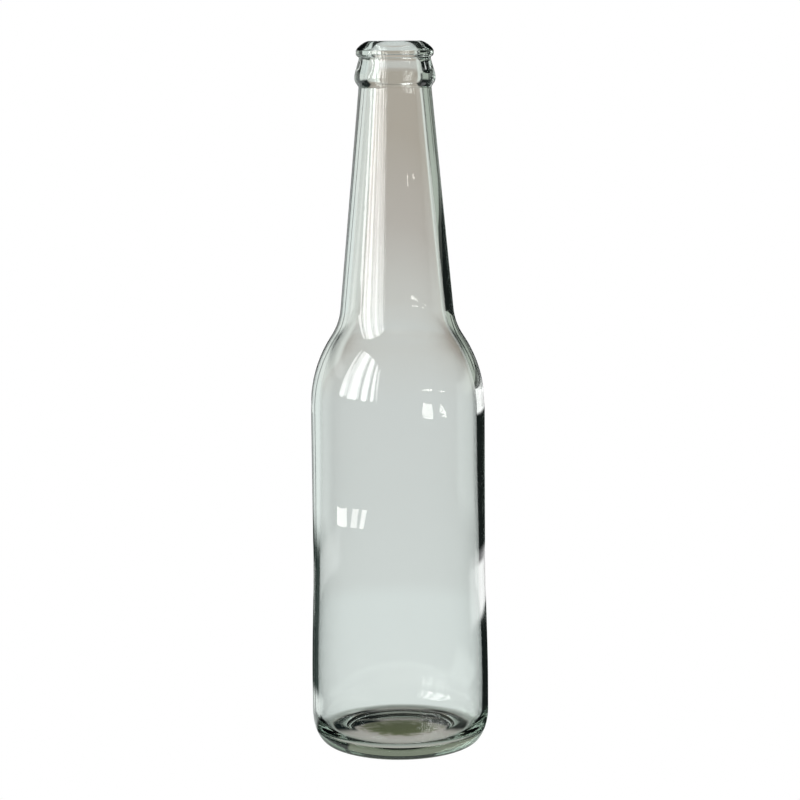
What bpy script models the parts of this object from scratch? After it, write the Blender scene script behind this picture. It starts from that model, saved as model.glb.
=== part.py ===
"""Long-neck beer bottle of clear glass with a crown finish, empty and uncapped.

Blender 4.5, metres, +Z up.  The origin is the centre of the base, on the surface that the
bottle stands on.  The whole bottle is one turned body: an open chain of points runs up the
inside from the middle of the floor to the mouth, over the lip, down the outside and under
the base to the middle of the push-up.  Sizes are in millimetres until the mesh is made.
"""
import math

import bpy

MM = 0.001
SEGMENTS = 64

# Overall
HEIGHT = 242.0
PANEL_RADIUS = 29.92
HEEL_RADIUS = 30.8

# Crown finish, heights measured down from the mouth
BORE_RADIUS = 8.45
BORE_STRAIGHT = 5.5
BORE_LIP = 0.4
LIP_DROP = 3.3
LIP_FULLNESS = 1.4  # 1 is a straight slope, 2 is an ellipse
RING_RADIUS = 13.2
RING_STRAIGHT = 0.9
RING_UNDER = 1.0
RING_WIDTH = 0.9
GROOVE_RADIUS = 12.25
GROOVE_TOP = 5.5
GROOVE_BOTTOM = 6.1
BEAD_RADIUS = 13.75
BEAD_MIDDLE = 12.2
BEAD_WIDTH = 1.2
BEAD_ABOVE = 3.0
BEAD_BELOW = 2.2
FINISH_DROP = 15.6
FINISH_FILLET_WIDTH = 0.5
FINISH_FILLET_HEIGHT = 0.8

# Neck cone, outside, and the shoulder below it
NECK_TOP_RADIUS = 12.4
NECK_END_RADIUS = 19.41
NECK_END_HEIGHT = 151.65
FILLET_RADIUS = 20.0
SHOULDER_RADIUS = 43.0

# Body: a label panel, a slightly fuller foot and a soft oval heel
PANEL_BOTTOM = 68.0
FOOT_TOP = 19.0
HEEL_HEIGHT = 11.4
HEEL_WIDTH = 5.6

# Base: flat bearing ring and shallow push-up
BEARING_INNER_RADIUS = 22.8
PUSH_UP_STEP = 1.4
PUSH_UP_STEP_WIDTH = 4.8
PUSH_UP_HEIGHT = 2.4

# Wall thickness
NECK_TOP_WALL = 2.9
NECK_WALL = 2.8
SHOULDER_WALL = 2.75
PANEL_WALL = 2.8
EVEN_FROM = 92.0  # the panel's wall thins from this height down
LOW_WALL = 2.4
FOOT_WALL = 2.1

# Inside of the base
FLOOR_MIDDLE = 6.2
FLOOR_EDGE = 5.0
FLOOR_EDGE_RADIUS = 24.4
INNER_HEEL_HEIGHT = 7.4

GLASS_COLOUR = (0.86, 0.90, 0.88, 1.0)
GLASS_ROUGHNESS = 0.02
GLASS_IOR = 1.52


def arc(centre, radius_r, radius_z, start, end, count):
    """Points on an ellipse about centre, from start to end in degrees, both ends kept."""
    points = []
    for step in range(count):
        angle = math.radians(start + (end - start) * step / (count - 1))
        r = centre[0] + radius_r * math.cos(angle)
        z = centre[1] + radius_z * math.sin(angle)
        points.append((r, z))
    return points


def shoulder(neck_end, slope, fillet, round_over, body_radius, counts):
    """The hollow curve off the neck cone and the full curve on to the body, top to bottom.

    neck_end is the cone's lower end (radius, height) and slope its growth in radius for each
    unit down.  The two arcs are tangent to the cone, to each other and to the body.
    """
    lean = math.atan(slope)
    hollow_r = neck_end[0] + fillet * math.cos(lean)
    hollow_z = neck_end[1] + fillet * math.sin(lean)
    meet = math.acos((hollow_r - body_radius + round_over) / (fillet + round_over))
    full_r = body_radius - round_over
    full_z = hollow_z - (fillet + round_over) * math.sin(meet)
    hollow = arc((hollow_r, hollow_z), fillet, fillet,
                 180.0 + math.degrees(lean), 180.0 + math.degrees(meet), counts[0])
    full = arc((full_r, full_z), round_over, round_over, math.degrees(meet), 0.0, counts[1])
    return hollow + full[1:]


def panel_and_foot():
    """The body's outside from the label panel down to the fuller foot, an even S curve."""
    points = []
    count = 6
    for step in range(count):
        share = step / (count - 1)
        swell = 0.5 - 0.5 * math.cos(math.pi * share)
        r = PANEL_RADIUS + (HEEL_RADIUS - PANEL_RADIUS) * swell
        z = PANEL_BOTTOM + (FOOT_TOP - PANEL_BOTTOM) * share
        points.append((r, z))
    return points


def dish(middle, edge, edge_radius, count):
    """A shallow domed disc from the axis out to its edge: the floor or the push-up."""
    points = []
    for step in range(count):
        share = step / (count - 1)
        r = edge_radius * share
        z = middle - (middle - edge) * share * share
        points.append((r, z))
    return points


def lip(count):
    """The crown's sloping top, a quarter of a superellipse from the sealing edge to the ring."""
    seal_radius = BORE_RADIUS + BORE_LIP
    power = 2.0 / LIP_FULLNESS
    points = []
    for step in range(count):
        angle = math.radians(90.0 - 90.0 * step / (count - 1))
        r = seal_radius + (RING_RADIUS - seal_radius) * math.cos(angle) ** power
        z = HEIGHT - LIP_DROP + LIP_DROP * math.sin(angle) ** power
        points.append((r, z))
    return points


def finish_outside():
    """From the rounded sealing edge down over the crown ring and the bead to the neck."""
    ring_centre = (RING_RADIUS - RING_WIDTH, HEIGHT - LIP_DROP - RING_STRAIGHT)
    bead_centre = (BEAD_RADIUS - BEAD_WIDTH, HEIGHT - BEAD_MIDDLE)
    fillet_centre = (NECK_TOP_RADIUS + FINISH_FILLET_WIDTH, HEIGHT - FINISH_DROP)
    points = lip(8)
    points += arc(ring_centre, RING_WIDTH, RING_UNDER, 0.0, -80.0, 4)
    points.append((GROOVE_RADIUS, HEIGHT - GROOVE_TOP))
    points.append((GROOVE_RADIUS, HEIGHT - GROOVE_BOTTOM))
    points += arc(bead_centre, BEAD_WIDTH, BEAD_ABOVE, 35.0, 0.0, 3)
    points += arc(bead_centre, BEAD_WIDTH, BEAD_BELOW, 0.0, -65.0, 4)[1:]
    points += arc(fillet_centre, FINISH_FILLET_WIDTH, FINISH_FILLET_HEIGHT, 130.0, 180.0, 2)
    return points


def outside():
    """The whole outside, from the sealing edge to the middle of the push-up."""
    neck_length = HEIGHT - FINISH_DROP - NECK_END_HEIGHT
    slope = (NECK_END_RADIUS - NECK_TOP_RADIUS) / neck_length
    points = finish_outside()
    points += shoulder((NECK_END_RADIUS, NECK_END_HEIGHT), slope, FILLET_RADIUS,
                       SHOULDER_RADIUS, PANEL_RADIUS, (6, 8))
    points += panel_and_foot()
    points += arc((HEEL_RADIUS - HEEL_WIDTH, HEEL_HEIGHT), HEEL_WIDTH, HEEL_HEIGHT,
                  0.0, -90.0, 8)
    points += arc((BEARING_INNER_RADIUS, PUSH_UP_STEP), PUSH_UP_STEP_WIDTH, PUSH_UP_STEP,
                  -90.0, -180.0, 4)
    push_up_edge = BEARING_INNER_RADIUS - PUSH_UP_STEP_WIDTH
    points += reversed(dish(PUSH_UP_HEIGHT, PUSH_UP_STEP, push_up_edge, 4)[:-1])
    return points


def inside():
    """The whole inside, from the middle of the floor up to the sealing edge."""
    foot_radius = HEEL_RADIUS - FOOT_WALL
    panel_radius = PANEL_RADIUS - PANEL_WALL
    neck_end = NECK_END_RADIUS - NECK_WALL
    neck_top = NECK_TOP_RADIUS - NECK_TOP_WALL
    neck_top_height = HEIGHT - FINISH_DROP
    slope = (neck_end - neck_top) / (neck_top_height - NECK_END_HEIGHT)
    points = dish(FLOOR_MIDDLE, FLOOR_EDGE, FLOOR_EDGE_RADIUS, 4)
    heel = arc((FLOOR_EDGE_RADIUS, FLOOR_EDGE + INNER_HEEL_HEIGHT),
               foot_radius - FLOOR_EDGE_RADIUS, INNER_HEEL_HEIGHT, -90.0, 0.0, 6)
    points += heel[1:]
    points.append((foot_radius, FOOT_TOP))
    points.append((PANEL_RADIUS - LOW_WALL, PANEL_BOTTOM))
    points.append((panel_radius, EVEN_FROM))
    curve = shoulder((neck_end, NECK_END_HEIGHT), slope, FILLET_RADIUS + NECK_WALL,
                     SHOULDER_RADIUS - SHOULDER_WALL, panel_radius, (5, 7))
    points += reversed(curve)
    points.append((neck_top, neck_top_height))
    points.append((neck_top, HEIGHT - BEAD_MIDDLE))
    points.append((BORE_RADIUS, HEIGHT - BORE_STRAIGHT))
    points += arc((BORE_RADIUS + BORE_LIP, HEIGHT - BORE_LIP), BORE_LIP, BORE_LIP,
                  180.0, 90.0, 3)
    return points


def glass():
    """Clear flint glass."""
    material = bpy.data.materials.new("flint glass")
    material.use_nodes = True
    shader = material.node_tree.nodes["Principled BSDF"]
    shader.inputs["Base Color"].default_value = GLASS_COLOUR
    shader.inputs["Roughness"].default_value = GLASS_ROUGHNESS
    shader.inputs["IOR"].default_value = GLASS_IOR
    shader.inputs["Transmission Weight"].default_value = 1.0
    material.diffuse_color = GLASS_COLOUR
    return material


def turned(name, chain, collection):
    """Turn a chain of (radius, height) points about Z with a Screw modifier."""
    vertices = [(r * MM, 0.0, z * MM) for r, z in chain]
    edges = [(i, i + 1) for i in range(len(vertices) - 1)]
    mesh = bpy.data.meshes.new(name)
    mesh.from_pydata(vertices, edges, [])
    body = bpy.data.objects.new(name, mesh)
    collection.objects.link(body)
    screw = body.modifiers.new("turn", "SCREW")
    screw.steps = SEGMENTS
    screw.render_steps = SEGMENTS
    screw.use_merge_vertices = True
    screw.merge_threshold = 0.00001
    screw.use_smooth_shade = True
    return body


def main():
    for old in list(bpy.data.objects):
        bpy.data.objects.remove(old, do_unlink=True)
    collection = bpy.data.collections.new("beer bottle")
    bpy.context.scene.collection.children.link(collection)
    bottle = turned("bottle", inside() + outside()[1:], collection)
    bottle.data.materials.append(glass())


main()
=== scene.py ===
import math

import bpy
from mathutils import Matrix


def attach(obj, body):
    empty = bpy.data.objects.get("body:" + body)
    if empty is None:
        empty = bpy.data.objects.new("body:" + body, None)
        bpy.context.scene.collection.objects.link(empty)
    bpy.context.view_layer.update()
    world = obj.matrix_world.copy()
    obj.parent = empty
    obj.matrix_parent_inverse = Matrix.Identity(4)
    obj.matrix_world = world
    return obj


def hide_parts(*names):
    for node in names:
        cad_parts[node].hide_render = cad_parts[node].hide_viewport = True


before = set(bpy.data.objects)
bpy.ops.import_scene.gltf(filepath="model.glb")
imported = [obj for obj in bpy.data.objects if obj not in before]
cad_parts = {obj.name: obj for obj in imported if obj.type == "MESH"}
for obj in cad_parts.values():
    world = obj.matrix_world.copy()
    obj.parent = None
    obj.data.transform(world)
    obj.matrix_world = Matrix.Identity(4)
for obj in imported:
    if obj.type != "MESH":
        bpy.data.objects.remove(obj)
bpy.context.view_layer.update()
print("frame loaded:", sorted(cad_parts))

mm = 0.001


def addNode(tree, kind, place=(0, 0), **settings):
    node = tree.nodes.new(kind)
    node.location = place
    for name, value in settings.items():
        setattr(node, name, value)
    return node


def maths(tree, operation, first, second=None, third=None):
    # one Math node; numbers are typed in, sockets are linked
    node = addNode(tree, "ShaderNodeMath", operation=operation)
    for slot, value in enumerate((first, second, third)):
        if value is None:
            continue
        if isinstance(value, (int, float)):
            node.inputs[slot].default_value = value
        else:
            tree.links.new(value, node.inputs[slot])
    return node.outputs[0]


# the bottle's section in millimetres, the same driving sizes as the solid
bottle = {
    "height": 242.0,
    "boreRadius": 8.45,
    "boreStraight": 5.5,
    "boreLip": 0.4,
    "boreRow": 1.0,        # an extra row of points, so far above the bore's lower edge
    "lipDrop": 3.3,
    "lipFullness": 1.4,    # 1 is a straight slope, 2 is an ellipse
    "ringRadius": 13.2,
    "ringStraight": 0.9,
    "ringUnder": 1.0,      # from its widest to its under edge
    "ringWidth": 0.9,
    "grooveRadius": 12.25,
    "grooveDrop": 6.1,
    "grooveStraight": 0.6,
    "beadRadius": 13.75,
    "beadMiddle": 12.2,
    "beadWidth": 1.2,
    "beadAbove": 3.0,
    "beadBelow": 2.2,
    "finishDrop": 15.6,
    "finishFilletWidth": 0.5,
    "finishFilletHeight": 0.8,
    "neckTopRadius": 12.4,
    "neckEndRadius": 19.41,
    "neckEndHeight": 151.65,
    "filletRadius": 20.0,
    "shoulderRadius": 43.0,
    "panelRadius": 29.92,
    "panelBottom": 68.0,
    "footRadius": 30.8,
    "footTop": 19.0,
    "heelHeight": 11.4,
    "heelWidth": 5.6,
    "bearingInner": 22.8,
    "pushUpStep": 1.4,
    "pushUpStepWidth": 4.8,
    "pushUpHeight": 2.4,
    "neckTopWall": 2.9,
    "neckWall": 2.8,
    "shoulderWall": 2.75,
    "panelWall": 2.8,
    "evenFrom": 92.0,      # the panel's wall thins from here down
    "lowWall": 2.4,        # where the panel ends and the foot begins
    "footWall": 2.1,
    "floorMiddle": 6.2,
    "floorEdge": 5.0,
    "floorEdgeRadius": 24.4,
    "innerHeelHeight": 7.4,
    "segments": 384,       # around
    "markCount": 96,       # raised marks on the bearing ring
    "markHeight": 0.03,
    "markInner": 0.1,      # how far past the flat ring they begin
    "markOuter": 1.4,      # how far past it they end
    "markTop": 0.35,       # and how far up the heel they reach
    "seamHeight": 0.10,    # two mould seams
    "seamWidth": 0.35,
    "seamTurn": 8.0,       # degrees round from the right-hand side
    "waveOutside": 0.03,   # unevenness of the blown glass
    "waveInside": 0.28,
    "waveScaleOutside": 60.0,
    "waveScaleInside": 38.0,
    "waveSeedOutside": 7.7,
    "waveSeedInside": 3.1,
    "waveStretch": 0.3,    # below 1, so it runs up the bottle
    "waveFade": 12.0,      # nearer the axis than this it dies away
    "mergeDistance": 0.002,
    # how many points each curve of the section gets, outside, underneath and inside
    "points": {
        "lip": 19, "ring": 8, "grooveToBead": 4, "beadAbove": 6, "beadBelow": 9, "finishFillet": 5,
        "neck": 14, "hollow": 14, "shoulder": 18, "panel": 6, "foot": 13, "heel": 22,
        "bearing": 4, "pushUpStep": 6, "pushUp": 10,
        "floor": 10, "innerHeel": 14, "innerFoot": 9, "innerPanel": 4, "innerShoulder": 14,
        "innerHollow": 10, "innerNeck": 12, "boreCone": 5, "boreLip": 6,
    },
}


def ellipseArc(centre, radiusR, radiusZ, start, end, count):
    points = []
    for step in range(count):
        angle = math.radians(start + (end - start) * step / (count - 1))
        points.append((centre[0] + radiusR * math.cos(angle), centre[1] + radiusZ * math.sin(angle)))
    return points


def ease(share):
    # from 0 to 1, level at both ends
    return 0.5 - 0.5 * math.cos(math.pi * share)


def straight(start, end, count):
    # points between two ends, neither end kept
    return [tuple(a + (b - a) * step / (count + 1) for a, b in zip(start, end))
            for step in range(1, count + 1)]


def shoulderCurve(neckEnd, slope, fillet, roundOver, bodyRadius, counts):
    # hollow curve off the neck, then the full curve on to the body, tangent all the way
    lean = math.atan(slope)
    hollowR = neckEnd[0] + fillet * math.cos(lean)
    hollowZ = neckEnd[1] + fillet * math.sin(lean)
    meet = math.acos((hollowR - bodyRadius + roundOver) / (fillet + roundOver))
    fullZ = hollowZ - (fillet + roundOver) * math.sin(meet)
    hollow = ellipseArc((hollowR, hollowZ), fillet, fillet,
                        180 + math.degrees(lean), 180 + math.degrees(meet), counts[0])
    full = ellipseArc((bodyRadius - roundOver, fullZ), roundOver, roundOver,
                      math.degrees(meet), 0, counts[1])
    return hollow + full[1:]


def outsideSection(b):
    top, count = b["height"], b["points"]
    # the lip falls from its sealing edge to the crown ring
    seal = b["boreRadius"] + b["boreLip"]
    power = 2 / b["lipFullness"]
    points = []
    for step in range(count["lip"]):
        angle = math.radians(90 - 90 * step / (count["lip"] - 1))
        points.append((seal + (b["ringRadius"] - seal) * math.cos(angle) ** power,
                       top - b["lipDrop"] + b["lipDrop"] * math.sin(angle) ** power))
    points += ellipseArc((b["ringRadius"] - b["ringWidth"], top - b["lipDrop"] - b["ringStraight"]),
                         b["ringWidth"], b["ringUnder"], 0, -80, count["ring"])
    groove = (b["grooveRadius"], top - b["grooveDrop"])
    points += [(groove[0], groove[1] + b["grooveStraight"]), groove]
    bead = (b["beadRadius"] - b["beadWidth"], top - b["beadMiddle"])
    above = ellipseArc(bead, b["beadWidth"], b["beadAbove"], 35, 0, count["beadAbove"])
    points += straight(groove, above[0], count["grooveToBead"])
    points += above
    points += ellipseArc(bead, b["beadWidth"], b["beadBelow"], 0, -65, count["beadBelow"])[1:]
    neckTop = (b["neckTopRadius"], top - b["finishDrop"])
    neckEnd = (b["neckEndRadius"], b["neckEndHeight"])
    points += ellipseArc((neckTop[0] + b["finishFilletWidth"], neckTop[1]), b["finishFilletWidth"],
                         b["finishFilletHeight"], 130, 180, count["finishFillet"])
    slope = (neckEnd[0] - neckTop[0]) / (neckTop[1] - neckEnd[1])
    points += straight(neckTop, neckEnd, count["neck"])
    points += shoulderCurve(neckEnd, slope, b["filletRadius"], b["shoulderRadius"], b["panelRadius"],
                            (count["hollow"], count["shoulder"]))
    points += straight(points[-1], (b["panelRadius"], b["panelBottom"]), count["panel"])
    for step in range(count["foot"]):
        share = step / (count["foot"] - 1)
        points.append((b["panelRadius"] + (b["footRadius"] - b["panelRadius"]) * ease(share),
                       b["panelBottom"] + (b["footTop"] - b["panelBottom"]) * share))
    points += ellipseArc((b["footRadius"] - b["heelWidth"], b["heelHeight"]), b["heelWidth"],
                         b["heelHeight"], 0, -90, count["heel"])
    return points


def undersideSection(b):
    count = b["points"]
    bearing = (b["bearingInner"], 0.0)
    points = straight((b["footRadius"] - b["heelWidth"], 0.0), bearing, count["bearing"])
    points.append(bearing)
    points += ellipseArc((b["bearingInner"], b["pushUpStep"]), b["pushUpStepWidth"], b["pushUpStep"],
                         -90, -180, count["pushUpStep"])[1:]
    edge = b["bearingInner"] - b["pushUpStepWidth"]
    rise = b["pushUpHeight"] - b["pushUpStep"]
    for step in reversed(range(count["pushUp"])):
        share = step / count["pushUp"]
        points.append((edge * share, b["pushUpHeight"] - rise * share ** 2))
    return points


def insideSection(b):
    top, count = b["height"], b["points"]
    footInner = b["footRadius"] - b["footWall"]
    panelInner = b["panelRadius"] - b["panelWall"]
    lowInner = b["panelRadius"] - b["lowWall"]
    neckEnd = (b["neckEndRadius"] - b["neckWall"], b["neckEndHeight"])
    neckTop = (b["neckTopRadius"] - b["neckTopWall"], top - b["finishDrop"])
    slope = (neckEnd[0] - neckTop[0]) / (neckTop[1] - neckEnd[1])
    points = []
    for step in range(count["floor"]):
        share = step / count["floor"]
        points.append((b["floorEdgeRadius"] * share,
                       b["floorMiddle"] - (b["floorMiddle"] - b["floorEdge"]) * share ** 2))
    points += ellipseArc((b["floorEdgeRadius"], b["floorEdge"] + b["innerHeelHeight"]),
                         footInner - b["floorEdgeRadius"], b["innerHeelHeight"], -90, 0,
                         count["innerHeel"])
    points.append((footInner, b["footTop"]))
    for step in range(1, count["innerFoot"] + 1):
        share = step / count["innerFoot"]
        points.append((footInner + (lowInner - footInner) * ease(share),
                       b["footTop"] + (b["panelBottom"] - b["footTop"]) * share))
    curve = shoulderCurve(neckEnd, slope, b["filletRadius"] + b["neckWall"],
                          b["shoulderRadius"] - b["shoulderWall"], panelInner,
                          (count["innerHollow"], count["innerShoulder"]))[::-1]
    points.append((panelInner, b["evenFrom"]))
    points += straight(points[-1], curve[0], count["innerPanel"])
    points += curve
    points += straight(neckEnd, neckTop, count["innerNeck"])
    # the neck runs straight up inside the bead, then narrows to the bore
    beadInner = (neckTop[0], top - b["beadMiddle"])
    bore = (b["boreRadius"], top - b["boreStraight"])
    points += [neckTop, beadInner]
    points += straight(beadInner, bore, count["boreCone"])
    points += [bore, (bore[0], bore[1] + b["boreRow"])]
    points += ellipseArc((b["boreRadius"] + b["boreLip"], top - b["boreLip"]), b["boreLip"],
                         b["boreLip"], 180, 90, count["boreLip"])
    return points


def sectionObject(b):
    # a chain of points; "skin" is 1 outside and 0 inside and underneath, "ring" is 1 where the
    # marks stand
    inner, outer, under = insideSection(b), outsideSection(b), undersideSection(b)
    chain = inner + outer + under
    skin = [0.0] * len(inner) + [1.0] * len(outer) + [0.0] * len(under)
    ringFrom = b["bearingInner"] - b["markInner"]
    ringTo = b["footRadius"] - b["heelWidth"] + b["markOuter"]
    ring = [1.0 if z < b["markTop"] and ringFrom < r < ringTo else 0.0 for r, z in chain]
    mesh = bpy.data.meshes.new("section")
    mesh.from_pydata([(r * mm, 0, z * mm) for r, z in chain],
                     [(i, i + 1) for i in range(len(chain) - 1)], [])
    for name, values in (("skin", skin), ("ring", ring)):
        mesh.attributes.new(name, "FLOAT", "POINT").data.foreach_set("value", values)
    piece = bpy.data.objects.new("bottleGlass", mesh)
    bpy.context.scene.collection.objects.link(piece)
    return piece, len(chain)


glassSettings = {
    "indexOfRefraction": 1.52,
    "roughness": 0.0,
    "tint": (0.80, 0.85, 0.815, 1.0),
    "density": 90.0,
    "rippleScale": (70.0, 70.0, 9.0),    # long up the bottle
    "rippleDetail": 2.0,
    "rippleStrength": 0.10,
    "rippleDepth": 0.00012,
}


def flintGlass(g):
    material = bpy.data.materials.new("flintGlass")
    material.use_nodes = True
    tree = material.node_tree
    shader = tree.nodes["Principled BSDF"]
    shader.inputs["Base Color"].default_value = (1, 1, 1, 1)
    shader.inputs["Transmission Weight"].default_value = 1.0
    shader.inputs["Roughness"].default_value = g["roughness"]
    shader.inputs["IOR"].default_value = g["indexOfRefraction"]
    coordinate = addNode(tree, "ShaderNodeTexCoord", (-900, 0))
    stretch = addNode(tree, "ShaderNodeMapping", (-700, 0))
    stretch.inputs["Scale"].default_value = g["rippleScale"]
    noise = addNode(tree, "ShaderNodeTexNoise", (-500, 0))
    noise.inputs["Scale"].default_value = 1.0
    noise.inputs["Detail"].default_value = g["rippleDetail"]
    bump = addNode(tree, "ShaderNodeBump", (-250, -200))
    bump.inputs["Strength"].default_value = g["rippleStrength"]
    bump.inputs["Distance"].default_value = g["rippleDepth"]
    tree.links.new(coordinate.outputs["Object"], stretch.inputs["Vector"])
    tree.links.new(stretch.outputs["Vector"], noise.inputs["Vector"])
    tree.links.new(noise.outputs["Fac"], bump.inputs["Height"])
    tree.links.new(bump.outputs["Normal"], shader.inputs["Normal"])
    absorption = addNode(tree, "ShaderNodeVolumeAbsorption", (0, -400))
    absorption.inputs["Color"].default_value = g["tint"]
    absorption.inputs["Density"].default_value = g["density"]
    tree.links.new(absorption.outputs["Volume"], tree.nodes["Material Output"].inputs["Volume"])
    print("glass: clear flint, index of refraction", g["indexOfRefraction"])
    return material


def turningTree(pointCount):
    tree = bpy.data.node_groups.new("turnedGlass", "GeometryNodeTree")
    face = tree.interface
    face.new_socket("Geometry", in_out="INPUT", socket_type="NodeSocketGeometry")
    for name in ("Segments", "Mark Count"):
        face.new_socket(name, in_out="INPUT", socket_type="NodeSocketInt")
    for name in ("Mark Height", "Seam Height", "Seam Width", "Seam Turn", "Wave Outside", "Wave Inside",
                 "Wave Scale Outside", "Wave Scale Inside", "Wave Seed Outside", "Wave Seed Inside",
                 "Wave Stretch", "Wave Fade", "Merge Distance"):
        face.new_socket(name, in_out="INPUT", socket_type="NodeSocketFloat")
    face.new_socket("Material", in_out="INPUT", socket_type="NodeSocketMaterial")
    face.new_socket("Geometry", in_out="OUTPUT", socket_type="NodeSocketGeometry")
    source = addNode(tree, "NodeGroupInput")
    sink = addNode(tree, "NodeGroupOutput")
    given = source.outputs
    link = tree.links.new

    # one column of vertices for each step round, one row for each point of the section
    grid = addNode(tree, "GeometryNodeMeshGrid")
    link(maths(tree, "ADD", given["Segments"], 1), grid.inputs["Vertices X"])
    grid.inputs["Vertices Y"].default_value = pointCount
    index = addNode(tree, "GeometryNodeInputIndex").outputs[0]
    column = maths(tree, "FLOOR", maths(tree, "DIVIDE", maths(tree, "ADD", index, 0.5), pointCount))
    row = maths(tree, "SUBTRACT", index, maths(tree, "MULTIPLY", column, pointCount))
    angle = maths(tree, "MULTIPLY", maths(tree, "DIVIDE", column, given["Segments"]), -2 * math.pi)

    def fromSection(kind, value):
        sample = addNode(tree, "GeometryNodeSampleIndex", data_type=kind, domain="POINT")
        link(given["Geometry"], sample.inputs["Geometry"])
        link(value, sample.inputs["Value"])
        link(row, sample.inputs["Index"])
        return sample.outputs["Value"]

    def namedValue(name):
        node = addNode(tree, "GeometryNodeInputNamedAttribute", data_type="FLOAT")
        node.inputs["Name"].default_value = name
        return node.outputs["Attribute"]

    position = addNode(tree, "GeometryNodeInputPosition").outputs[0]
    place = addNode(tree, "ShaderNodeSeparateXYZ")
    link(fromSection("FLOAT_VECTOR", position), place.inputs[0])
    radius, height = place.outputs["X"], place.outputs["Z"]
    skin = fromSection("FLOAT", namedValue("skin"))
    ring = fromSection("FLOAT", namedValue("ring"))
    cosine, sine = maths(tree, "COSINE", angle), maths(tree, "SINE", angle)

    # slow unevenness, stretched up the bottle, weaker towards the axis; the outside's only goes
    # inwards, so the bottle stays within its solid
    ideal = addNode(tree, "ShaderNodeCombineXYZ")
    link(maths(tree, "MULTIPLY", radius, cosine), ideal.inputs["X"])
    link(maths(tree, "MULTIPLY", radius, sine), ideal.inputs["Y"])
    link(maths(tree, "MULTIPLY", height, given["Wave Stretch"]), ideal.inputs["Z"])

    def wave(side, middle):
        # noise less its middle value, for the side named
        start = addNode(tree, "ShaderNodeCombineXYZ")
        link(given["Wave Seed " + side], start.inputs["X"])
        shift = addNode(tree, "ShaderNodeVectorMath", operation="ADD")
        link(ideal.outputs[0], shift.inputs[0])
        link(start.outputs[0], shift.inputs[1])
        noise = addNode(tree, "ShaderNodeTexNoise")
        link(given["Wave Scale " + side], noise.inputs["Scale"])
        noise.inputs["Detail"].default_value = 1.0
        link(shift.outputs[0], noise.inputs["Vector"])
        return maths(tree, "SUBTRACT", noise.outputs["Fac"], middle)

    taper = maths(tree, "MINIMUM", maths(tree, "DIVIDE", radius, given["Wave Fade"]), 1.0)
    inside = maths(tree, "MULTIPLY", maths(tree, "SUBTRACT", 1.0, skin), given["Wave Inside"])
    outside = maths(tree, "MULTIPLY", skin, given["Wave Outside"])
    shifts = maths(tree, "ADD", maths(tree, "MULTIPLY", inside, wave("Inside", 0.5)),
                   maths(tree, "MULTIPLY", outside, wave("Outside", 1.0)))
    shifts = maths(tree, "MULTIPLY", shifts, taper)

    # two seams, where the halves of the mould met
    fromSeam = maths(tree, "SINE", maths(tree, "SUBTRACT", angle, given["Seam Turn"]))
    across = maths(tree, "DIVIDE", maths(tree, "MULTIPLY", radius, fromSeam), given["Seam Width"])
    seam = maths(tree, "EXPONENT", maths(tree, "MULTIPLY", maths(tree, "MULTIPLY", across, across), -1.0))
    seam = maths(tree, "MULTIPLY", maths(tree, "SUBTRACT", seam, 1.0), skin)
    seam = maths(tree, "MULTIPLY", seam, given["Seam Height"])
    radiusNow = maths(tree, "ADD", radius, maths(tree, "ADD", shifts, seam))

    # raised marks round the bearing ring: the ring is lifted between them
    beat = maths(tree, "SINE", maths(tree, "MULTIPLY", angle, given["Mark Count"]))
    beat = maths(tree, "SUBTRACT", 1.0, maths(tree, "MAXIMUM", beat, 0.0))
    lift = maths(tree, "MULTIPLY", maths(tree, "MULTIPLY", beat, ring), given["Mark Height"])
    turned = addNode(tree, "ShaderNodeCombineXYZ")
    link(maths(tree, "MULTIPLY", radiusNow, cosine), turned.inputs["X"])
    link(maths(tree, "MULTIPLY", radiusNow, sine), turned.inputs["Y"])
    link(maths(tree, "ADD", height, lift), turned.inputs["Z"])

    setPlace = addNode(tree, "GeometryNodeSetPosition")
    link(grid.outputs["Mesh"], setPlace.inputs["Geometry"])
    link(turned.outputs[0], setPlace.inputs["Position"])
    merge = addNode(tree, "GeometryNodeMergeByDistance")
    link(given["Merge Distance"], merge.inputs["Distance"])
    link(setPlace.outputs[0], merge.inputs["Geometry"])
    smooth = addNode(tree, "GeometryNodeSetShadeSmooth")
    link(merge.outputs[0], smooth.inputs["Geometry"])
    realize = addNode(tree, "GeometryNodeRealizeInstances")
    link(smooth.outputs[0], realize.inputs[0])
    paint = addNode(tree, "GeometryNodeSetMaterial")
    link(realize.outputs[0], paint.inputs["Geometry"])
    link(given["Material"], paint.inputs["Material"])
    link(paint.outputs[0], sink.inputs[0])
    return tree


def settle(piece, tree, values):
    # run the tree once with its values and keep the plain mesh
    modifier = piece.modifiers.new("turning", "NODES")
    modifier.node_group = tree
    for item in tree.interface.items_tree:
        if item.in_out == "INPUT" and item.name in values:
            modifier[item.identifier] = values[item.name]
    shape = bpy.data.meshes.new_from_object(
        piece.evaluated_get(bpy.context.evaluated_depsgraph_get()))
    piece.modifiers.clear()
    piece.data = shape


def makeBottle(b, glass):
    piece, pointCount = sectionObject(b)
    tree = turningTree(pointCount)
    settle(piece, tree, {
        "Segments": b["segments"], "Mark Count": b["markCount"],
        "Mark Height": b["markHeight"] * mm, "Seam Height": b["seamHeight"] * mm,
        "Seam Width": b["seamWidth"] * mm, "Seam Turn": math.radians(b["seamTurn"]),
        "Wave Outside": b["waveOutside"] * mm, "Wave Inside": b["waveInside"] * mm,
        "Wave Scale Outside": b["waveScaleOutside"], "Wave Scale Inside": b["waveScaleInside"],
        "Wave Seed Outside": b["waveSeedOutside"], "Wave Seed Inside": b["waveSeedInside"],
        "Wave Stretch": b["waveStretch"], "Wave Fade": b["waveFade"] * mm,
        "Merge Distance": b["mergeDistance"] * mm, "Material": glass})
    print("bottle:", len(piece.data.polygons), "faces")
    return piece


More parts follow.
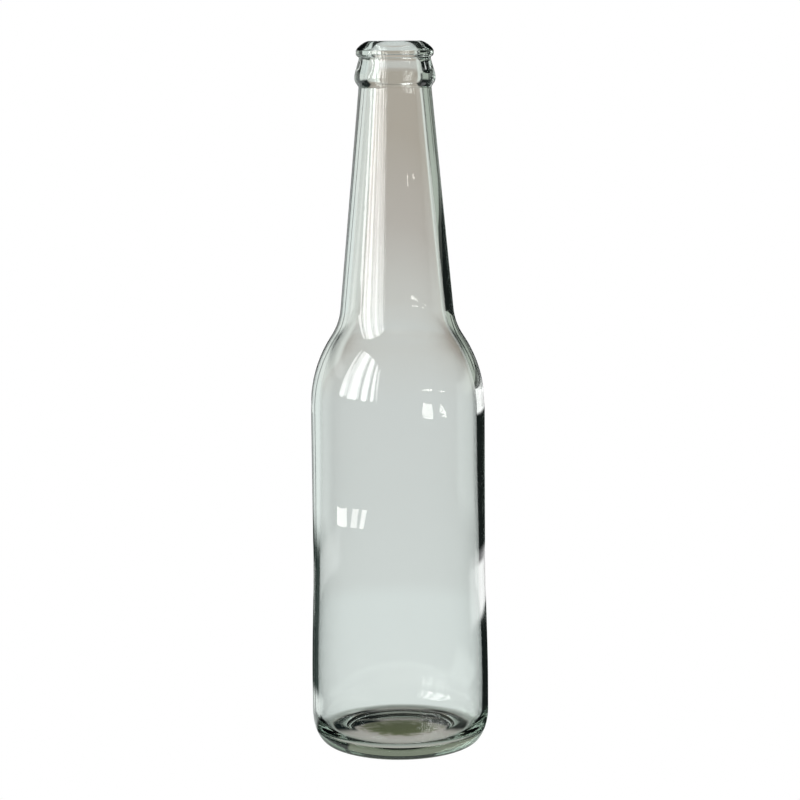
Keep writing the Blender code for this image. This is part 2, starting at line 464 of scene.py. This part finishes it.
glass = flintGlass(glassSettings)
bottleGlass = makeBottle(bottle, glass)
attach(bottleGlass, "root")
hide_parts("bottle")

# The camera meets plain white. The glass meets a grey floor with painted shadow under the base, a dim
# room and a window,
# # with other colours for light that it has turned back than for light that went straight through it.
# A row is a distance from the bottle, in metres, and the colour there. A pair of numbers is
# where a change begins and where it is complete.
studio = {
    "floorSize": 60.0,
    "floorHeight": -0.0003,
    "nearest": 0.005,    # where the rows' scale begins, and how many powers of ten it spans
    "decades": 3.6,
    # the first rows, under the base, are painted shadow: dark in the middle and in a thin ring at the
    # edge of where the bottle stands
    "seenThrough": (
        (0.0085, (0.13, 0.15, 0.08)), (0.0125, (0.27, 0.28, 0.20)), (0.0165, (0.52, 0.49, 0.46)),
        (0.0252, (0.46, 0.47, 0.43)), (0.0262, (0.36, 0.40, 0.37)), (0.030, (0.50, 0.54, 0.51)),
        (0.033, (0.84, 0.90, 0.88)), (0.22, (0.83, 0.89, 0.875)), (0.25, (0.775, 0.82, 0.805)),
        (0.75, (0.76, 0.79, 0.78)), (1.4, (0.71, 0.71, 0.68)), (2.4, (0.58, 0.54, 0.50)),
        (6.0, (0.52, 0.47, 0.41))),
    "turnedLeft": (
        (0.072, (0.80, 0.85, 0.83)), (0.09, (0.04, 0.055, 0.05)), (0.37, (0.04, 0.055, 0.05)),
        (0.43, (0.80, 0.86, 0.84))),
    "turnedRight": (
        (0.214, (0.010, 0.013, 0.012)), (0.23, (1.0, 1.0, 1.0)), (0.315, (1.0, 1.0, 1.0)),
        (0.335, (0.010, 0.013, 0.012))),
    "gleam": (1.3, 1.3, 1.3),
    "gleamFrom": (0.745, 0.79),
    "gleamTo": (0.93, 0.84),
    "gleamUntil": (0.72, 0.66),
    "gleamSlant": -0.6,
    # painted shadow under the base, to both sides of the middle
    "besideShadow": (0.0, 0.005, 0.005),
    "besideFrom": (0.0155, 0.0175),
    "besideTo": (0.026, 0.024),
    "besideTurn": (0.66, 0.92),
    "besideBack": 0.4,
    # mottling of the painted shadow under the base: noise scale, sway, shift to the back and how near the
    # axis
    "shadowMottleScale": 300.0,
    "shadowMottleSway": 0.22,
    "shadowMottleBack": -2.5,
    "shadowMottleUntil": (0.020, 0.014),
    "baseEdge": (0.031, 0.033),
    "backWall": (0.52, 0.47, 0.41),
    "paleSides": (0.84, 0.87, 0.83),
    "paleLeft": (-0.15, -0.19),
    "paleRight": (0.312, 0.35),
    "paleFar": (1.3, 1.8),
    "paleBelow": (0.24, 0.14),
    "leftWall": (0.80, 0.84, 0.81),
    "rightWall": (0.45, 0.50, 0.44),
    "dimRoom": (0.015, 0.018, 0.018),
    "leftUntil": (-0.34, -0.28),
    "rightFrom": (0.31, 0.37),
    "behind": (0.15, 0.35),
    "farLight": (3.8, 4.4),
    "farSlant": -0.8,
    "dimAbove": (0.12, 0.25),
    "darkDoor": (0.46, 0.50),
    "postLeft": (0.455, 0.480),
    "postRight": (0.540, 0.515),
    # the foot and the head of each upright edge, sideways and up
    "windowEdges": (((0.38, 0.195), (0.22, 0.82)), ((0.18, 0.175), (0.09, 0.88)),
                    ((-0.11, 0.185), (-0.16, 0.88)), ((-0.32, 0.19), (-0.35, 0.82)),
                    ((-0.47, 0.20), (-0.48, 0.76)), ((-0.54, 0.205), (-0.54, 0.74))),
    "windowFacing": -119.0,
    "windowDistance": 0.8,
    "windowBar": 0.085,
    "windowStrength": 7.5,
    "glintColour": (1.0, 0.98, 0.94),
    # patches of daylight on the floor that the outside mirrors: strength, the turns where each
    # begins and ends, and the skew of its near edge, in degrees
    "floorGlints": ((8.0, -92.5, -109.5, 0.0), (6.5, -118.5, -127.5, 3.5),
                    (8.0, -132.5, -139.0, 5.0)),
    "floorMeetings": 1,    # how many times their light has met the glass
    "floorNear": 0.412,
    "floorFar": 0.461,
    "floorRise": 0.0001,
    # and small upright ones that the far inner wall mirrors: strength, middle (sideways and up),
    # width at the foot, height and fall from the left end to the right
    "wallMeetings": 5,
    "wallFacing": -125.0,
    "wallDistance": 0.2,
    "wallTaper": 0.7,
    "wallGlints": (
        (12.0, -0.022, 0.0758, 0.076, 0.0048, -0.001), (10.0, 0.085, 0.0736, 0.060, 0.0024, 0.0045),
        (10.0, -0.050, 0.1426, 0.017, 0.0060, -0.0015), (12.0, 0.030, 0.1488, 0.036, 0.0020, -0.001)),
}


def glow(name, colour, strength):
    material = bpy.data.materials.new(name)
    material.use_nodes = True
    tree = material.node_tree
    tree.nodes.clear()
    light = addNode(tree, "ShaderNodeEmission")
    light.inputs["Color"].default_value = (*colour, 1)
    light.inputs["Strength"].default_value = strength
    out = addNode(tree, "ShaderNodeOutputMaterial")
    tree.links.new(light.outputs[0], out.inputs["Surface"])
    return material


def card(name, corners, material):
    mesh = bpy.data.meshes.new(name)
    mesh.from_pydata([tuple(c) for c in corners], [], [tuple(range(len(corners)))])
    mesh.materials.append(material)
    piece = bpy.data.objects.new(name, mesh)
    bpy.context.scene.collection.objects.link(piece)
    piece.visible_camera = False
    piece.visible_shadow = False


def upright(facing, out, side, height):
    # a point on an upright plane that stands off to one side of the bottle
    turn = math.radians(facing)
    return (math.sin(turn) * out + math.cos(turn) * side,
            math.cos(turn) * out - math.sin(turn) * side, height)


def windowPanes(s):
    # one upright window to the left and front, its panes parted by bars
    daylight = glow("daylight", (1.0, 1.0, 1.0), s["windowStrength"])
    edges, bar = s["windowEdges"], s["windowBar"] / 2
    for number, ((footA, headA), (footB, headB)) in enumerate(zip(edges, edges[1:])):
        corners = [(side - bar, height) for side, height in (headA, footA)]
        corners += [(side + bar, height) for side, height in (footB, headB)]
        card("windowPane%d" % (number + 1),
             [upright(s["windowFacing"], s["windowDistance"], *corner) for corner in corners], daylight)


def glint(name, colour, strength, meetings, corners):
    # a bright patch for light that has met the glass so many times, clear for the rest
    material = glow(name, colour, strength)
    tree = material.node_tree
    depth = addNode(tree, "ShaderNodeLightPath").outputs["Ray Depth"]
    mix = addNode(tree, "ShaderNodeMixShader")
    tree.links.new(maths(tree, "COMPARE", depth, meetings, 0.5), mix.inputs["Fac"])
    tree.links.new(addNode(tree, "ShaderNodeBsdfTransparent").outputs[0], mix.inputs[1])
    tree.links.new(tree.nodes["Emission"].outputs[0], mix.inputs[2])
    tree.links.new(mix.outputs[0], tree.nodes["Material Output"].inputs["Surface"])
    card(name, corners, material)


def onFloor(turn, away, height):
    turn = math.radians(turn)
    return (math.sin(turn) * away, math.cos(turn) * away, height)


def glints(s):
    justAbove = s["floorHeight"] + s["floorRise"]
    for number, (strength, start, end, skew) in enumerate(s["floorGlints"]):
        near = [onFloor(turn + skew, s["floorNear"], justAbove) for turn in (end, start)]
        far = [onFloor(turn, s["floorFar"], justAbove) for turn in (start, end)]
        glint("floorGlint%d" % (number + 1), s["glintColour"], strength, s["floorMeetings"], far + near)
    for number, (strength, side, middle, width, height, fall) in enumerate(s["wallGlints"]):
        head = width * s["wallTaper"]
        spots = [(side + wide / 2 * right, middle + height / 2 * up - fall / 2 * right)
                 for wide, right, up in ((width, -1, -1), (width, 1, -1), (head, 1, 1), (head, -1, 1))]
        glint("wallGlint%d" % (number + 1), s["glintColour"], strength, s["wallMeetings"],
              [upright(s["wallFacing"], s["wallDistance"], *spot) for spot in spots])


def mixColour(tree, factor, first, second):
    node = addNode(tree, "ShaderNodeMix", data_type="RGBA")
    tree.links.new(factor, node.inputs[0])
    for socket, value in ((node.inputs[6], first), (node.inputs[7], second)):
        if isinstance(value, tuple):
            socket.default_value = (*value, 1)
        else:
            tree.links.new(value, socket)
    return node.outputs[2]


def between(tree, value, low, high):
    node = addNode(tree, "ShaderNodeMapRange", interpolation_type="SMOOTHSTEP")
    tree.links.new(value, node.inputs["Value"])
    node.inputs["From Min"].default_value = low
    node.inputs["From Max"].default_value = high
    return node.outputs["Result"]


def byDistance(tree, s, place, rows):
    # a colour ramp along the logarithm of the distance
    node = addNode(tree, "ShaderNodeValToRGB")
    tree.links.new(place, node.inputs["Fac"])
    stops = node.color_ramp.elements
    while len(stops) < len(rows):
        stops.new(1.0)
    for stop, (distance, colour) in zip(stops, rows):
        stop.position = math.log10(distance / s["nearest"]) / s["decades"]
        stop.color = (*colour, 1)
    return node.outputs["Color"]


def turnedBack(tree, s, toRight, toBack, left, right):
    # what light meets that the glass turned back: one colour to each side behind, dim in front
    side = mixColour(tree, between(tree, toRight, *s["leftUntil"]), left, right)
    return mixColour(tree, between(tree, toBack, *s["behind"]), s["dimRoom"], side)


def stageOutput(tree, colour, kind, target):
    # plain white to the camera, the given colour to the glass
    path = addNode(tree, "ShaderNodeLightPath")
    around = addNode(tree, kind)
    tree.links.new(colour, around.inputs["Color"])
    seen = addNode(tree, kind)
    seen.inputs["Color"].default_value = (1, 1, 1, 1)
    mix = addNode(tree, "ShaderNodeMixShader")
    tree.links.new(path.outputs["Is Camera Ray"], mix.inputs["Fac"])
    tree.links.new(around.outputs[0], mix.inputs[1])
    tree.links.new(seen.outputs[0], mix.inputs[2])
    tree.links.new(mix.outputs[0], addNode(tree, target).inputs["Surface"])


def oddDepth(tree, ahead=0.0):
    # light that was turned back has met the glass an odd number of times
    path = addNode(tree, "ShaderNodeLightPath")
    return maths(tree, "MODULO", maths(tree, "ADD", path.outputs["Ray Depth"], ahead), 2.0)


def paleToSides(tree, s, toRight, middle):
    # what is seen through the glass turns pale to both sides
    left = between(tree, toRight, *s["paleLeft"])
    right = between(tree, toRight, *s["paleRight"])
    return mixColour(tree, maths(tree, "ADD", left, right), middle, s["paleSides"])


def floorSeenThrough(tree, s, at, coordinates):
    # what the glass shows of the table: under the base it is a painted shadow, mottled in the middle
    # noise that mottles the painted shadow under the base
    shadowMottle = addNode(tree, "ShaderNodeTexNoise")
    shadowMottle.inputs["Scale"].default_value = s["shadowMottleScale"]
    tree.links.new(coordinates, shadowMottle.inputs["Vector"])
    sway = maths(tree, "MULTIPLY", maths(tree, "SUBTRACT", shadowMottle.outputs["Fac"], 0.5), s["shadowMottleSway"])
    sway = maths(tree, "MULTIPLY_ADD", at["y"], s["shadowMottleBack"], sway)
    sway = maths(tree, "MULTIPLY", sway, between(tree, at["away"], *s["shadowMottleUntil"]))
    through = byDistance(tree, s, maths(tree, "ADD", at["place"], sway), s["seenThrough"])
    # and painted shadow to both sides of the middle, under the base
    beside = maths(tree, "MULTIPLY_ADD", at["y"], s["besideBack"], maths(tree, "ABSOLUTE", at["x"]))
    beside = between(tree, maths(tree, "DIVIDE", beside, at["away"]), *s["besideTurn"])
    for edge in (s["besideFrom"], s["besideTo"]):
        beside = maths(tree, "MULTIPLY", beside, between(tree, at["away"], *edge))
    through = mixColour(tree, beside, through, s["besideShadow"])
    # far off it turns pale to both sides
    return mixColour(tree, between(tree, at["away"], *s["paleFar"]), through,
                     paleToSides(tree, s, at["toRight"], through))


def floorTurnedBack(tree, s, at):
    # bright in a wedge behind on the right
    gleam = between(tree, maths(tree, "MULTIPLY_ADD", at["x"], s["gleamSlant"], at["y"]), *s["gleamTo"])
    gleam = maths(tree, "MULTIPLY", gleam, between(tree, at["away"], *s["gleamFrom"]))
    gleam = maths(tree, "MULTIPLY", gleam, between(tree, at["toRight"], *s["gleamUntil"]))
    right = mixColour(tree, gleam, byDistance(tree, s, at["place"], s["turnedRight"]), s["gleam"])
    # and far off pale beyond a slanting line
    far = between(tree, maths(tree, "MULTIPLY_ADD", at["x"], s["farSlant"], at["y"]), *s["farLight"])
    far = maths(tree, "MULTIPLY", far, between(tree, at["toRight"], *s["rightFrom"]))
    right = mixColour(tree, far, right, s["rightWall"])
    return turnedBack(tree, s, at["toRight"], at["toBack"],
                      byDistance(tree, s, at["place"], s["turnedLeft"]), right)


def makeFloor(s):
    half, height = s["floorSize"] / 2, s["floorHeight"]
    mesh = bpy.data.meshes.new("floor")
    mesh.from_pydata([(-half, -half, height), (half, -half, height), (half, half, height),
                      (-half, half, height)], [], [(0, 1, 2, 3)])
    floor = bpy.data.objects.new("floor", mesh)
    bpy.context.scene.collection.objects.link(floor)
    material = bpy.data.materials.new("paleFloor")
    material.use_nodes = True
    tree = material.node_tree
    tree.nodes.clear()
    split = addNode(tree, "ShaderNodeSeparateXYZ")
    coordinates = addNode(tree, "ShaderNodeTexCoord").outputs["Object"]
    tree.links.new(coordinates, split.inputs[0])
    x, y = split.outputs["X"], split.outputs["Y"]
    away = maths(tree, "SQRT", maths(tree, "ADD", maths(tree, "MULTIPLY", x, x),
                                     maths(tree, "MULTIPLY", y, y)))
    powers = maths(tree, "LOGARITHM", maths(tree, "DIVIDE", away, s["nearest"]), 10.0)
    at = {"x": x, "y": y, "away": away, "place": maths(tree, "DIVIDE", powers, s["decades"]),
          "toRight": maths(tree, "DIVIDE", x, away), "toBack": maths(tree, "DIVIDE", y, away)}
    # under the base nothing is turned back
    turned = maths(tree, "MULTIPLY", oddDepth(tree), between(tree, away, *s["baseEdge"]))
    colour = mixColour(tree, turned, floorSeenThrough(tree, s, at, coordinates),
                       floorTurnedBack(tree, s, at))
    stageOutput(tree, colour, "ShaderNodeEmission", "ShaderNodeOutputMaterial")
    mesh.materials.append(material)


def makeWorld(s):
    world = bpy.data.worlds.new("studio")
    bpy.context.scene.world = world
    world.use_nodes = True
    tree = world.node_tree
    tree.nodes.clear()
    split = addNode(tree, "ShaderNodeSeparateXYZ")
    tree.links.new(addNode(tree, "ShaderNodeTexCoord").outputs["Generated"], split.inputs[0])
    toRight, toBack, up = (split.outputs[axis] for axis in "XYZ")
    # light that was turned back meets a wall to each side, with a dark post before the right one
    right = mixColour(tree, between(tree, toRight, *s["rightFrom"]), s["dimRoom"], s["rightWall"])
    post = maths(tree, "MULTIPLY", between(tree, toRight, *s["postLeft"]),
                 between(tree, toRight, *s["postRight"]))
    right = mixColour(tree, post, right, s["dimRoom"])
    turned = turnedBack(tree, s, toRight, toBack, s["leftWall"], right)
    turned = mixColour(tree, between(tree, up, *s["dimAbove"]), turned, s["dimRoom"])
    # the back wall is pale low down to both sides, and ends at a dark doorway on the right
    wall = mixColour(tree, between(tree, up, *s["paleBelow"]), s["backWall"],
                     paleToSides(tree, s, toRight, s["backWall"]))
    wall = mixColour(tree, between(tree, toRight, *s["darkDoor"]), wall, s["dimRoom"])
    # the room counts one step further than a surface does
    colour = mixColour(tree, oddDepth(tree, 1.0), wall, turned)
    stageOutput(tree, colour, "ShaderNodeBackground", "ShaderNodeOutputWorld")


makeFloor(studio)
makeWorld(studio)
windowPanes(studio)
glints(studio)
print("studio: floor, room, window and glints")

cameraSettings = {
    "distance": 0.79155,
    "height": 0.242,
    "pitchDown": 8.7586,
    "turn": 0.054,
    "roll": -0.5053,
    "focalPixels": 2332.1,
    "frameWidth": 800,
    "sensorWidth": 36.0,
    "clipEnd": 100.0,
}


def makeCamera(c):
    data = bpy.data.cameras.new("camera")
    data.sensor_width = c["sensorWidth"]
    data.lens = c["focalPixels"] / c["frameWidth"] * c["sensorWidth"]
    data.clip_end = c["clipEnd"]
    camera = bpy.data.objects.new("camera", data)
    bpy.context.scene.collection.objects.link(camera)
    aim = Matrix.Rotation(math.radians(-c["turn"]), 4, "Z")
    aim = aim @ Matrix.Rotation(math.radians(90 - c["pitchDown"]), 4, "X")
    aim = aim @ Matrix.Rotation(math.radians(c["roll"]), 4, "Z")
    camera.matrix_world = Matrix.Translation((0, -c["distance"], c["height"])) @ aim
    bpy.context.scene.camera = camera
    print("camera:", c["distance"], "m in front and", c["height"], "m up")


makeCamera(cameraSettings)
scene = bpy.context.scene
scene.view_settings.view_transform = "Standard"
scene.cycles.max_bounces = 24
scene.cycles.transmission_bounces = 24
scene.cycles.glossy_bounces = 12
scene.cycles.transparent_max_bounces = 12
